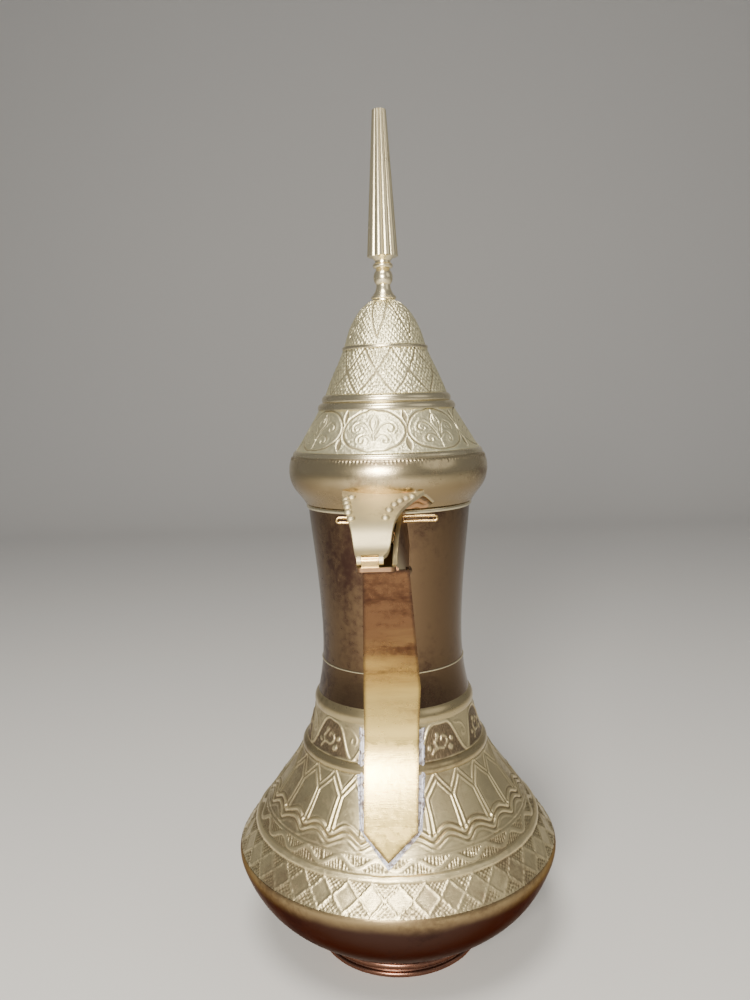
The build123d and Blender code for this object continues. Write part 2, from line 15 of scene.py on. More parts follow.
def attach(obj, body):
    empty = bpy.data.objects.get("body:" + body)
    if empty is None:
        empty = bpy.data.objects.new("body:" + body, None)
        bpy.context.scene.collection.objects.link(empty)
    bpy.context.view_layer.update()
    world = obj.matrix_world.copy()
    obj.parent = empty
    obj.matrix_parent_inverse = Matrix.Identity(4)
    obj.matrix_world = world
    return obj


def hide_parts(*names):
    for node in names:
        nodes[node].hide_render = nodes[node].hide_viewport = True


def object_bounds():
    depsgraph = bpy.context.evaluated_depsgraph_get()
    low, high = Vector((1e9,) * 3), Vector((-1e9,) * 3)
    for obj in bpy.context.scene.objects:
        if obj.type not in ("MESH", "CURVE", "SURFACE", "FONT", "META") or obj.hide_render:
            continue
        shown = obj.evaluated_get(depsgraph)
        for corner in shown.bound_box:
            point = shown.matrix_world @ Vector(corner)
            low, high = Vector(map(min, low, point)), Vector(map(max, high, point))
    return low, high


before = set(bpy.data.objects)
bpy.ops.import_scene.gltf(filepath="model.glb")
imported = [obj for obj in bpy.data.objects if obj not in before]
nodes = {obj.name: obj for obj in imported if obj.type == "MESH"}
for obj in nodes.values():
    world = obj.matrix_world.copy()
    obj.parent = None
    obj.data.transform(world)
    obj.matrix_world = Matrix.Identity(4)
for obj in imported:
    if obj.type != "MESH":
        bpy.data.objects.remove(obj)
cad_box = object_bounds()
MM = 0.001


# ---------------------------------------------------------------- camera, light and floor
def add_camera():
    data = bpy.data.cameras.new("camera")
    data.lens = 29.9
    data.sensor_width = 36.0
    camera = bpy.data.objects.new("camera", data)
    tilt_down, turn_left, roll = radians(6.72), radians(0.96), radians(-1.59)
    turn = (
        Matrix.Rotation(turn_left, 4, "Z")
        @ Matrix.Rotation(radians(90) - tilt_down, 4, "X")
        @ Matrix.Rotation(roll, 4, "Z")
    )
    camera.matrix_world = Matrix.Translation((0.0, -0.3300, 0.2211)) @ turn
    bpy.context.scene.collection.objects.link(camera)
    bpy.context.scene.camera = camera


lamp_colour = (1.0, 0.95, 0.86)


def add_area_light(name, place, target, size, power):
    data = bpy.data.lights.new(name, "AREA")
    data.shape = "DISK"
    data.size = size
    data.energy = power
    data.color = lamp_colour
    lamp = bpy.data.objects.new(name, data)
    lamp.location = place
    lamp.rotation_euler = (Vector(target) - Vector(place)).to_track_quat("-Z", "Y").to_euler()
    bpy.context.scene.collection.objects.link(lamp)


def add_studio():
    """A soft lamp beside the camera, a weak fill, and a dim even room."""
    world = bpy.data.worlds.new("studio")
    world.use_nodes = True
    background = world.node_tree.nodes["Background"]
    background.inputs["Color"].default_value = (0.30, 0.30, 0.31, 1)
    background.inputs["Strength"].default_value = 0.8
    bpy.context.scene.world = world
    middle = (0, 0, cad_box[1].z * 0.45)
    add_area_light("key", (-0.14, -0.75, 0.36), middle, 0.26, 12.0)
    add_area_light("top", (-0.10, -0.42, 1.00), Vector((0, 0, 0.22)), 0.36, 9.0)
    add_area_light("fill", (0.9, -0.5, 0.7), middle, 0.8, 1.0)


def add_backdrop():
    """Pale paper: a floor that sweeps up into a wall behind the pot."""
    half_width, front, bend, sweep, top = 2.5, -2.5, 1.1, 0.6, 2.6
    arc = [radians(a) for a in range(0, 91, 5)]
    side = [(front, 0.0)] + [(bend + sweep * sin(a), sweep * (1 - cos(a))) for a in arc]
    side.append((bend + sweep, top))
    corners = [(x, y, z) for y, z in side for x in (-half_width, half_width)]
    faces = [(2 * i, 2 * i + 1, 2 * i + 3, 2 * i + 2) for i in range(len(side) - 1)]
    mesh = bpy.data.meshes.new("backdrop")
    mesh.from_pydata(corners, [], faces)
    mesh.shade_smooth()
    backdrop = bpy.data.objects.new("backdrop", mesh)
    bpy.context.scene.collection.objects.link(backdrop)
    paper = bpy.data.materials.new("paper")
    paper.use_nodes = True
    shader = paper.node_tree.nodes["Principled BSDF"]
    shader.inputs["Base Color"].default_value = (0.62, 0.61, 0.59, 1)
    shader.inputs["Roughness"].default_value = 0.9
    mesh.materials.append(paper)


# ---------------------------------------------------------------- materials
class Recipe:
    """Builds one material's node tree."""

    def __init__(self, name):
        self.material = bpy.data.materials.new(name)
        self.material.use_nodes = True
        self.tree = self.material.node_tree
        self.shader = self.tree.nodes["Principled BSDF"]
        self.place = self.add("ShaderNodeTexCoord").outputs["Object"]

    def add(self, kind, **settings):
        node = self.tree.nodes.new(kind)
        for key, value in settings.items():
            setattr(node, key, value)
        return node

    def join(self, value, socket):
        """Feeds a socket with another node's output or with a constant."""
        if isinstance(value, bpy.types.NodeSocket):
            self.tree.links.new(value, socket)
        else:
            socket.default_value = (*value, 1) if isinstance(value, tuple) else value

    def math(self, operation, a, b=0.0, clamp=False):
        node = self.add("ShaderNodeMath", operation=operation, use_clamp=clamp)
        self.join(a, node.inputs[0])
        self.join(b, node.inputs[1])
        return node.outputs[0]

    def mix(self, share, a, b):
        node = self.add("ShaderNodeMix", data_type="RGBA")
        self.join(share, node.inputs["Factor"])
        self.join(a, node.inputs[6])
        self.join(b, node.inputs[7])
        return node.outputs[2]

    def step(self, value, low, high):
        """0 below low, 1 above high, smooth between them."""
        node = self.add("ShaderNodeMapRange", interpolation_type="SMOOTHSTEP")
        self.join(value, node.inputs["Value"])
        node.inputs["From Min"].default_value = low
        node.inputs["From Max"].default_value = high
        return node.outputs["Result"]

    def noise(self, scale, stretch=(1, 1, 1), detail=4.0, roughness=0.6):
        mapping = self.add("ShaderNodeMapping")
        self.join(self.place, mapping.inputs["Vector"])
        mapping.inputs["Scale"].default_value = stretch
        node = self.add("ShaderNodeTexNoise")
        self.join(mapping.outputs["Vector"], node.inputs["Vector"])
        node.inputs["Scale"].default_value = scale
        node.inputs["Detail"].default_value = detail
        node.inputs["Roughness"].default_value = roughness
        return node.outputs["Fac"]

    def attribute(self, name):
        return self.add("ShaderNodeAttribute", attribute_name=name).outputs["Fac"]

    def bump(self, height, distance, below=None):
        node = self.add("ShaderNodeBump")
        node.inputs["Distance"].default_value = distance
        self.join(height, node.inputs["Height"])
        if below is not None:
            self.join(below, node.inputs["Normal"])
        return node.outputs["Normal"]


def old_brass(name, bright, dull, rough, streak=(1, 1, 1), dulled=0.5, chased=False, scratch=(1, 1, 40),
              grainy=0.4, grounded=(0.22, 0.12, 0.10), lower=None, edges=False, lit_tops=None,
              grazing=(1, 1, 1)):
    """Worn brass: bright where it is rubbed, dull and rougher where it has tarnished.

    streak stretches the tarnish's clouds and scratch the fine tool marks. A chased skin also
    darkens in its hollows and shines on its ridges, by the relief kept on its vertices, and takes
    the grounded colour where it was tarnished on purpose. lower is a second pair of colours below
    a height, edges paints shade along the rims, lit_tops paints light on the faces that look up,
    and grazing tints the shader's own sheen at low angles.
    """
    r = Recipe(name)
    clouds = r.noise(38.0, streak, detail=6.0)
    specks = r.noise(420.0, detail=3.0)
    lines = r.noise(160.0, scratch, detail=3.0)
    tarnish = r.math("ADD", r.math("MULTIPLY", clouds, 0.75), r.math("MULTIPLY", specks, 0.25))
    tarnish = r.step(tarnish, 0.62 - 0.3 * dulled, 0.82 - 0.3 * dulled)
    colour = r.mix(tarnish, bright, dull)
    axes = r.add("ShaderNodeSeparateXYZ")
    r.join(r.place, axes.inputs[0])
    if lower:
        worn_height, blend, low_bright, low_dull = lower
        level = r.math("ADD", axes.outputs["Z"], r.math("MULTIPLY", r.math("SUBTRACT", clouds, 0.5), blend))
        share = r.step(level, worn_height + blend / 2, worn_height - blend / 2)
        faint = r.step(tarnish, 0.3, 1.6)
        colour = r.mix(share, colour, r.mix(faint, low_bright, low_dull))
    roughness = r.math("ADD", rough, r.math("MULTIPLY", tarnish, 0.12))
    roughness = r.math("ADD", roughness, r.math("MULTIPLY", r.math("SUBTRACT", specks, 0.5), 0.3 * grainy))
    if chased:
        relief = r.attribute("relief")
        hollow = r.step(r.math("MULTIPLY", relief, -1.0), 0.02, 0.24)
        crest = r.step(relief, 0.06, 0.30)
        ground = r.attribute("tarnish")
        colour = r.mix(r.math("MULTIPLY", ground, 0.85), colour, grounded)
        colour = r.mix(r.math("MULTIPLY", hollow, 0.80), colour, (0.13, 0.10, 0.06))
        colour = r.mix(r.math("MULTIPLY", crest, 0.7), colour, tuple(min(1.0, 1.25 * c) for c in bright))
        roughness = r.math("ADD", roughness, r.math("MULTIPLY", hollow, 0.2), clamp=True)
    # Painted light: faces that look up take the lit_tops colour, as if lit from above.
    if lit_tops:
        facing = r.add("ShaderNodeSeparateXYZ")
        r.join(r.add("ShaderNodeNewGeometry").outputs["Normal"], facing.inputs[0])
        colour = r.mix(r.step(facing.outputs["Z"], 0.25, 0.6), colour, lit_tops)
    # Painted shade: a dark line along the rims, where a shadowed gap would show.
    if edges:
        rim = r.add("ShaderNodeBevel", samples=6)
        rim.inputs["Radius"].default_value = 0.0022
        face = r.add("ShaderNodeNewGeometry")
        dot = r.add("ShaderNodeVectorMath", operation="DOT_PRODUCT")
        r.join(rim.outputs["Normal"], dot.inputs[0])
        r.join(face.outputs["Normal"], dot.inputs[1])
        rim_shade = r.step(dot.outputs["Value"], 0.998, 0.90)
        colour = r.mix(r.math("MULTIPLY", rim_shade, 0.9), colour, (0.06, 0.035, 0.025))
    r.join(colour, r.shader.inputs["Base Color"])
    r.join(roughness, r.shader.inputs["Roughness"])
    r.shader.inputs["Metallic"].default_value = 1.0
    r.shader.inputs["Specular Tint"].default_value = (*grazing, 1.0)
    fine = r.bump(lines, 0.00010 * grainy)
    r.join(r.bump(specks, 0.00012 * grainy, fine), r.shader.inputs["Normal"])
    return r.material


def lead_solder():
    """Pale bluish solder, lumpy and cracked where it ran along the strap."""
    r = Recipe("solder")
    lumps = r.noise(520.0, detail=5.0, roughness=0.75)
    colour = r.mix(r.step(lumps, 0.40, 0.54), (0.24, 0.20, 0.20), (0.80, 0.81, 0.92))
    r.join(colour, r.shader.inputs["Base Color"])
    r.shader.inputs["Metallic"].default_value = 0.85
    r.join(r.math("ADD", 0.32, r.math("MULTIPLY", lumps, 0.35)), r.shader.inputs["Roughness"])
    r.join(r.bump(lumps, 0.0006), r.shader.inputs["Normal"])
    return r.material


# ---------------------------------------------------------------- skins of the turned pieces
def mesh_tree(node):
    mesh = nodes[node].data
    return BVHTree.FromPolygons([v.co for v in mesh.vertices], [tuple(p.vertices) for p in mesh.polygons])


def section(node, aims, inside=False, degree=9):
    """Radius and height in mm, as smooth functions of 0 to 1, of a turned CAD piece's skin or inside.

    Each aim is a height on the axis in mm and an elevation in radians: the skin is met along it.
    """
    tree = mesh_tree(node)
    far = 0.3
    radius, height = [], []
    for level, rise in aims:
        found = []
        for turn in (0.13, 1.74, 2.9, 4.43, 5.6):
            way = Vector((cos(turn) * cos(rise), sin(turn) * cos(rise), sin(rise)))
            eye = Vector((0, 0, level * MM))
            start, way = (eye, way) if inside else (eye + way * far, -way)
            hit = tree.ray_cast(start, way)[0]
            if hit is not None:
                found.append((hit.xy.length / MM, hit.z / MM))
        radius.append(np.mean([f[0] for f in found]))
        height.append(np.mean([f[1] for f in found]))
    share = np.linspace(0, 1, len(aims))
    fit = np.polynomial.Chebyshev.fit
    return fit(share, radius, degree), fit(share, height, degree)


class Skin:
    """A turned surface as a grid: rows go up the piece, columns go round it from the handle's side.

    Millimetres. relief stands out from the surface, and tarnish is 1 where the ground is blackened.
    """

    def __init__(self, outline, spacing, columns):
        share = np.linspace(0, 1, 2000)
        r, z = outline[0](share), outline[1](share)
        length = np.concatenate([[0], np.cumsum(np.hypot(np.diff(r), np.diff(z)))])
        even = np.linspace(0, length[-1], int(length[-1] / spacing) + 1)
        share = np.interp(even, length, share)
        self.radius, self.height = outline[0](share)[:, None], outline[1](share)[:, None]
        self.along = even[:, None]
        self.turn = np.linspace(-pi, pi, columns, endpoint=False)[None, :]
        self.relief = np.zeros((len(even), columns))
        self.tarnish = np.zeros((len(even), columns))

    def between(self, low, high):
        """The same grid, cut to the rows between two heights. It writes to the same relief."""
        part = object.__new__(Skin)
        keep = np.flatnonzero((self.height[:, 0] >= low) & (self.height[:, 0] <= high))
        rows = slice(keep[0], keep[-1] + 1)
        for key in ("radius", "height", "along", "relief", "tarnish"):
            setattr(part, key, getattr(self, key)[rows])
        part.turn = self.turn
        return part

    def at(self, height):
        """Distance along the skin at a height."""
        return float(np.interp(height, self.height[:, 0], self.along[:, 0]))

    def cells(self, count, phase=0.0):
        """For a motif repeated round the skin: share from -0.5 to 0.5 across it, its width, its number."""
        share = (self.turn - phase) * count / (2 * pi)
        number = np.floor(share + 0.5)
        return share - number, 2 * pi * self.radius / count, number.astype(int) % count

    def distance(self, field):
        """Distance in mm from where a field is zero, judged by the field's slope on the grid."""
        step = self.radius * (self.turn[0, 1] - self.turn[0, 0])
        across = (np.roll(field, -1, 1) - np.roll(field, 1, 1)) / (2 * step)
        up = np.gradient(field, self.along[:, 0], axis=0)
        return field / np.maximum(np.hypot(across, up), 1e-3)

    def waver(self, size, seed, lumps=(3, 40), rise=(0.05, 0.6)):
        """Slow random wandering, the same on every run, that closes on itself round the skin."""
        rng = np.random.default_rng(seed)
        total = np.zeros_like(self.relief)
        waves = 8
        for _ in range(waves):
            around, along = rng.integers(*lumps) * self.turn, rng.uniform(*rise) * self.along
            total += np.sin(around + along + rng.uniform(0, 2 * pi))
        return size * total / waves ** 0.5

    def grain(self, seed, spread=1):
        """Random punch marks about as large as the grid."""
        rng = np.random.default_rng(seed)
        marks = rng.standard_normal(self.relief.shape)
        for _ in range(spread):
            down, side, both = (np.roll(marks, shift, (0, 1)) for shift in ((1, 0), (0, 1), (1, 1)))
            marks = (marks + down + side + both) / 2.5
        return marks


def line(distance, width):
    """A rounded stroke: 1 on its line, and gone at about its width."""
    return np.exp(-((2 * distance / width) ** 2))


def half_round(distance, width):
    return np.sqrt(np.clip(1 - (2 * distance / width) ** 2, 0, 1))


def soft_step(value, low, high):
    t = np.clip((value - low) / (high - low), 0, 1)
    return t * t * (3 - 2 * t)


def chain_distance(x, y, points):
    """Distance from every (x, y) to a chain of points."""
    best = np.full(np.broadcast(x, y).shape, 1e9)
    for (ax, ay), (bx, by) in zip(points, points[1:]):
        dx, dy = bx - ax, by - ay
        t = np.clip(((x - ax) * dx + (y - ay) * dy) / (dx * dx + dy * dy), 0, 1)
        best = np.minimum(best, np.hypot(x - ax - t * dx, y - ay - t * dy))
    return best


def rounded(points, steps=5):
    """A smooth curve through the points, as a finer chain."""
    p = np.array([points[0], *points, points[-1]], float)
    out = []
    for a, b, c, d in zip(p, p[1:], p[2:], p[3:]):
        for t in np.arange(steps) / steps:
            squared, cubed = 2 * a - 5 * b + 4 * c - d, 3 * b - a - 3 * c + d
            out.append(0.5 * (2 * b + (c - a) * t + squared * t**2 + cubed * t**3))
    out.append(p[-1])
    return [tuple(q) for q in out]


def pips(u, v, pitch):
    """Cross-hatching: rows of small raised pips between two families of cut lines."""
    return np.cos(2 * pi * u / pitch) * 0.5 + np.cos(2 * pi * v / pitch) * 0.5


def hatch(u, v, pitch):
    """Two families of thin cut lines: 0 on the lines and 1 between them."""
    cut = [1 - np.abs(np.cos(pi * w / pitch)) ** 5 for w in (u, v)]
    return cut[0] * cut[1]


def turned_piece(name, skin, inner, material, body, replaced):
    """Closed sheet-metal piece: the chased skin outside, a plain inner face, and flat rims."""
    rise = np.gradient(skin.height[:, 0])
    run = np.gradient(skin.radius[:, 0])
    length = np.hypot(rise, run)
    out_r, out_z = (rise / length)[:, None], (-run / length)[:, None]
    radius = skin.radius + skin.relief * out_r
    height = skin.height + skin.relief * out_z
    height[0], height[-1] = skin.height[0], skin.height[-1]
    share = np.linspace(1, 0, 16)
    back_r, back_z = inner[0](share)[:, None], inner[1](share)[:, None]
    columns = skin.turn.shape[1]
    radius = np.concatenate([radius, np.repeat(back_r, columns, 1)])
    height = np.concatenate([height, np.repeat(back_z, columns, 1)])
    x, y = radius * np.sin(skin.turn), -radius * np.cos(skin.turn)
    points = np.stack([x, y, height], -1).reshape(-1, 3) * MM
    rows = len(radius)
    i, j = np.meshgrid(np.arange(rows), np.arange(columns), indexing="ij")
    up, side = (i + 1) % rows, (j + 1) % columns
    quads = np.stack([i * columns + j, i * columns + side, up * columns + side, up * columns + j], -1)
    mesh = bpy.data.meshes.new(name)
    mesh.from_pydata(points.tolist(), [], quads.reshape(-1, 4).tolist())
    plain = np.zeros((len(share), columns))
    for key in ("relief", "tarnish"):
        values = np.concatenate([getattr(skin, key), plain]).astype(np.float32)
        mesh.attributes.new(key, "FLOAT", "POINT").data.foreach_set("value", values.ravel())
    mesh.shade_smooth()
    mesh.set_sharp_from_angle(angle=radians(60))
    mesh.materials.append(material)
    piece = bpy.data.objects.new(name, mesh)
    bpy.context.scene.collection.objects.link(piece)
    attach(piece, body)
    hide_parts(replaced)
    return piece


# ---------------------------------------------------------------- chasing on the shoulder
def chase_lozenges(skin):
    """Forty plain lozenges on their points, with hatched triangles between them."""
    y = skin.along + skin.waver(0.12, 11)
    low, high = skin.at(45.3), skin.at(53.8)
    share, cell, _ = skin.cells(40)
    x = share * cell + skin.waver(0.18, 12)
    half, middle = (high - low) / 2, (high + low) / 2
    across, up = 2 * np.abs(x) / cell, np.abs(y - middle) / half
    slope = np.hypot(2 / cell, 1 / half)
    edge = (1 - across - up) / slope
    u, v = (2 * x / cell + (y - middle) / half) / slope, (2 * x / cell - (y - middle) / half) / slope
    ground = soft_step(-edge, 0.35, 0.6) * soft_step(half - np.abs(y - middle), -0.2, 0.3)
    skin.relief += 0.30 * line(edge, 0.95) * (0.75 + 0.25 * skin.waver(1, 13, (40, 300)))
    skin.relief += ground * (-0.10 + 0.20 * pips(u + skin.waver(0.1, 15, (20, 90)), v, 1.12))
    skin.relief += 0.03 * skin.grain(14) * ground


def chase_rings(skin):
    """The plain ring above the lozenges, the fine double ring, and the crease's nicked edge."""
    y = skin.along + skin.waver(0.06, 21)
    skin.relief += 0.55 * half_round(y - skin.at(55.0), 2.5)
    for height in (53.6, 56.45):
        skin.relief -= 0.14 * line(y - skin.at(height), 0.7)
    for height in (60.6, 61.7):
        skin.relief += 0.20 * line(y - skin.at(height), 0.75)
    skin.relief -= 0.10 * line(y - skin.at(61.15), 0.5)
    for height in (82.9, 87.5):
        skin.relief += 0.20 * line(y - skin.at(height), 0.7)
    nicks = np.maximum(skin.waver(1, 22, (60, 400), (0.1, 2.0)), 0)
    skin.relief -= 0.16 * nicks * soft_step(-y, -0.9, -0.1)


def chase_ribbon(skin):
    """A raised ribbon that winds through a hatched ground, with short strokes above the ring."""
    low, high = skin.at(56.8), skin.at(60.2)
    share = skin.cells(24, phase=radians(3))[0]
    y = skin.along + skin.waver(0.15, 31)
    middle, swing = (low + high) / 2, (high - low) * 0.40
    field = y - middle - swing * np.sin(2 * pi * share)
    off = np.abs(skin.distance(field))
    ribbon = soft_step(off, 0.95, 0.55)
    ground = soft_step(off, 0.8, 1.1) * soft_step(y, low - 0.3, low) * soft_step(y, high + 0.3, high)
    x = skin.turn * skin.radius
    strokes = np.cos(2 * pi * (x + skin.waver(0.3, 32, (20, 90))) / 1.25)
    cross = np.cos(2 * pi * (y + 0.35 * x) / 1.3)
    skin.relief += 0.22 * ribbon + ground * (-0.12 + 0.16 * strokes + 0.07 * cross)


def chase_waves(skin):
    """Two bold wave lines and a fainter one, lowest under each stem."""
    share = skin.cells(24)[0]
    arch = np.sqrt(np.sin(pi * share) ** 2 + 0.09)
    y = skin.along + skin.waver(0.22, 41)
    for height, tall, width in ((65.5, 0.40, 1.3), (63.5, 0.36, 1.2), (61.9, 0.16, 0.9)):
        off = skin.distance(y - skin.at(height) - 3.9 * (arch - 0.30))
        skin.relief += tall * line(off, width) - 0.55 * tall * line(np.abs(off) - 1.0, 0.75)


def chase_forks(skin):
    """Twenty-four double-line forks, whose arms meet their neighbours' under the waist ring."""
    share, cell, number = skin.cells(24)
    rng = np.random.default_rng(51)
    lift, lean = rng.uniform(-0.5, 0.5, 24)[number], rng.uniform(-0.3, 0.3, 24)[number]
    base, fork, top = skin.at(66.0), skin.at(76.0), skin.at(83.2)
    middle = 11.6
    x = np.abs(share * cell + lean * soft_step(skin.along, top, base) + skin.waver(0.12, 52))
    x = x * middle / cell
    y = skin.along - lift * soft_step(skin.along, base, fork) * soft_step(skin.along, top, fork)
    panel = [(0.85, base), (0.80, fork), (middle / 2, top - 2.6)]
    vee = [(0.0, fork + 1.9), (middle / 2, top + 0.4)]
    off = np.minimum(chain_distance(x, y, panel), chain_distance(x, y, vee))
    skin.relief += 0.30 * line(off, 0.8) - 0.07 * line(off - 0.8, 0.6)


def sprig(x, y):
    """Curling stem with three buds, as a distance to its lines, round its own centre."""
    stem = rounded([(-4.6, -3.4), (-2.4, -1.2), (0.2, -1.6), (2.2, -0.2), (2.0, 2.0), (0.4, 2.6),
                    (-0.4, 1.4)])
    twig = rounded([(-2.4, -1.2), (-3.4, 0.8), (-2.2, 2.4)])
    off = np.minimum(chain_distance(x, y, stem), chain_distance(x, y, twig))
    for bud_x, bud_y, size in ((-2.0, 3.3, 0.8), (3.6, -2.2, 0.9), (-5.4, -1.0, 0.7), (4.6, 1.0, 0.7)):
        off = np.minimum(off, np.maximum(np.hypot(x - bud_x, y - bud_y) - 0.7 * size, 0))
    return off


def chase_vine(skin):
    """A winding line between the waist rings: blackened pockets with sprigs under it, curls above."""
    low, high = skin.at(87.4), skin.at(100.6)
    share, cell, _ = skin.cells(9, phase=radians(-8))
    middle, half = (low + high) / 2, (high - low) / 2
    y = skin.along + skin.waver(0.2, 61)
    field = y - middle - 0.94 * half * (1 - 2 * np.abs(np.sin(pi * share)) ** 4.5)
    off = skin.distance(field)
    below = soft_step(-off, 0.5, 0.9) * soft_step(y, low, low + 0.5)
    x = share * cell + skin.waver(0.2, 62)
    lines = sprig(x, y - middle + 1.4)
    upper = (share - np.sign(share) * 0.5) * cell
    curl = rounded([(-4.0, 4.8), (-0.6, 3.6), (1.4, 1.0), (0.8, -1.0), (-0.8, -0.8), (-0.6, 0.6)])
    curls = chain_distance(upper, y - middle, curl)
    skin.relief += 0.26 * line(off, 0.85)
    skin.relief += below * (-0.16 + 0.05 * skin.grain(63) + 0.34 * line(lines, 0.95))
    skin.relief += 0.16 * line(curls, 0.7) * (1 - below)
    skin.tarnish[:] = np.maximum(skin.tarnish, below * (1 - line(lines, 1.0)))


def make_shoulder():
    low, high = 44.7, 103.5
    aims = [(z, 0.0) for z in np.linspace(low + 0.05, high - 0.05, 40)]
    skin = Skin(section("shoulder", aims), spacing=0.36, columns=1100)
    chase_lozenges(skin.between(low, 54.3))
    chase_rings(skin)
    chase_ribbon(skin.between(56.2, 60.6))
    chase_waves(skin.between(61.0, 71.0))
    chase_forks(skin.between(64.8, 83.3))
    chase_vine(skin.between(86.8, 101.2))
    skin.relief += skin.waver(0.05, 71, (2, 9), (0.02, 0.1))
    inner = section("shoulder", aims, inside=True)
    turned_piece("shoulder_chased", skin, inner, chased_body, "pot", "shoulder")


# ---------------------------------------------------------------- chasing on the lid
def chase_medallions(skin):
    """Eight oval medallions, each with a petal between two pairs of scrolls, and leaves between."""
    low, high = skin.at(203.6), skin.at(218.6)
    middle, half = (low + high) / 2, (high - low) / 2
    share = skin.cells(8, phase=radians(-9))[0]
    wide = 24.6
    x = share * wide + skin.waver(0.2, 81)
    y = skin.along - middle + skin.waver(0.15, 82)
    off = skin.distance(np.hypot(share / 0.488, y / (half * 0.97)) - 1)
    groove, inside = line(off, 0.8), soft_step(-off, 0.4, 0.8)
    skin.relief += 0.10 * line(np.abs(off) - 0.85, 0.8) - 0.28 * groove
    a = np.abs(x)
    petal_rise = np.clip((y + 1.6) / 8.0, 0, 1)
    petal_half = 1.75 * np.sin(pi * petal_rise ** 1.25) ** 0.9 + 0.05
    petal = a - petal_half
    upper = rounded([(0.5, -4.0), (1.2, -1.2), (2.8, 1.6), (5.0, 3.1), (7.2, 2.4), (7.9, 0.6),
                     (6.6, -0.5), (5.6, 0.5)])
    lower = rounded([(0.5, -3.6), (2.2, -1.9), (4.2, -1.9), (5.5, -3.5), (5.0, -5.1), (3.9, -4.9),
                     (3.8, -3.9)])
    strokes = np.minimum(chain_distance(a, y, upper), chain_distance(a, y, lower))
    outline = np.where((petal_rise > 0.01) & (petal_rise < 0.99), np.abs(petal), 9.0)
    strokes = np.minimum(strokes, outline)
    body = soft_step(strokes, 1.5, 0.7)
    skin.relief += inside * (0.10 * body - 0.30 * line(strokes, 0.62))
    skin.relief += (1 - groove) * (0.045 - 0.015 * inside) * skin.grain(83)
    skin.relief += inside * (1 - body) * (0.03 * skin.grain(84) - 0.04)
    side = (share - np.sign(share) * 0.5) * wide
    for centre in (half * 0.62, -half * 0.66):
        rise = np.clip((y - centre) / (half * 0.36), -1, 1)
        lens = np.abs(side + 0.10 * (y - centre)) - 1.15 * (1 - rise ** 2)
        shape = soft_step(-lens, -0.05, 0.35) * (np.abs(rise) < 0.98)
        skin.relief += 0.12 * line(lens, 0.6) * (np.abs(rise) < 0.98) - 0.24 * shape
    for height in (203.4, 218.9):
        skin.relief += 0.16 * line(skin.along - skin.at(height), 0.7)


def chase_net(skin):
    """Ten large lozenges between the lid's band and its wire, cross-hatched all over."""
    low, high = skin.at(224.0), skin.at(241.4)
    middle, half = (low + high) / 2, (high - low) / 2
    share, cell, _ = skin.cells(10, phase=radians(8))
    x = share * cell + skin.waver(0.15, 91)
    y = skin.along - middle + skin.waver(0.12, 92)
    slope = np.hypot(2 / cell, 1 / half)
    edge = (1 - 2 * np.abs(x) / cell - np.abs(y) / half) / slope
    u, v = (2 * x / cell + y / half) / slope, (2 * x / cell - y / half) / slope
    u, v = u + skin.waver(0.22, 94, (12, 90), (0.1, 1.5)), v + skin.waver(0.22, 95, (12, 90), (0.1, 1.5))
    groove = line(edge, 0.85)
    skin.relief += (1 - groove) * (-0.17 + 0.30 * hatch(u, v, 1.5) + 0.035 * skin.grain(93))
    skin.relief += 0.06 * line(np.abs(edge) - 0.8, 0.7) - 0.24 * groove


def chase_petals(skin):
    """Seven pointed petals up the dome, hatched, with hatched points hanging between them."""
    low, high = skin.at(243.4), skin.along[-1, 0]
    share, cell, _ = skin.cells(7, phase=radians(14))
    y = skin.along + skin.waver(0.12, 111)
    rise = (y - low) / (high - low)
    edge = skin.distance(0.98 - rise - 0.9 * np.abs(share * 2))
    groove = line(edge, 0.85)
    x = share * cell + skin.waver(0.15, 112)
    u = x * 0.80 + y * 0.60 + skin.waver(0.22, 114, (6, 50), (0.1, 1.5))
    v = x * 0.80 - y * 0.60 + skin.waver(0.22, 115, (6, 50), (0.1, 1.5))
    skin.relief += (1 - groove) * (-0.14 + 0.25 * hatch(u, v, 1.45) + 0.035 * skin.grain(113))
    skin.relief += 0.06 * line(np.abs(edge) - 0.8, 0.7) - 0.22 * groove


def make_cone():
    low, high = 202.0, 221.3
    aims = [(z, 0.0) for z in np.linspace(low + 0.05, high - 0.05, 24)]
    skin = Skin(section("lid_cone", aims), spacing=0.28, columns=820)
    chase_medallions(skin.between(202.8, 219.6))
    skin.relief += skin.waver(0.04, 101, (2, 9), (0.02, 0.1))
    inner = section("lid_cone", aims, inside=True)
    turned_piece("lid_cone_chased", skin, inner, chased_lid, "lid", "lid_cone")


def make_dome():
    low, shoulder = 221.3, 242.0
    aims = [(z, 0.0) for z in np.arange(low + 0.05, shoulder, 1.1)]
    aims += [(shoulder, radians(e)) for e in np.linspace(2, 80.4, 22)]
    skin = Skin(section("lid_dome", aims, degree=12), spacing=0.28, columns=560)
    chase_net(skin.between(224.0, 241.6))
    chase_petals(skin.between(242.6, 260.4))
    skin.relief += skin.waver(0.03, 121, (2, 9), (0.02, 0.1))
    aims[-1] = (shoulder, radians(80.0))
    inner = section("lid_dome", aims, inside=True, degree=12)
    turned_piece("lid_dome_chased", skin, inner, chased_lid, "lid", "lid_dome")


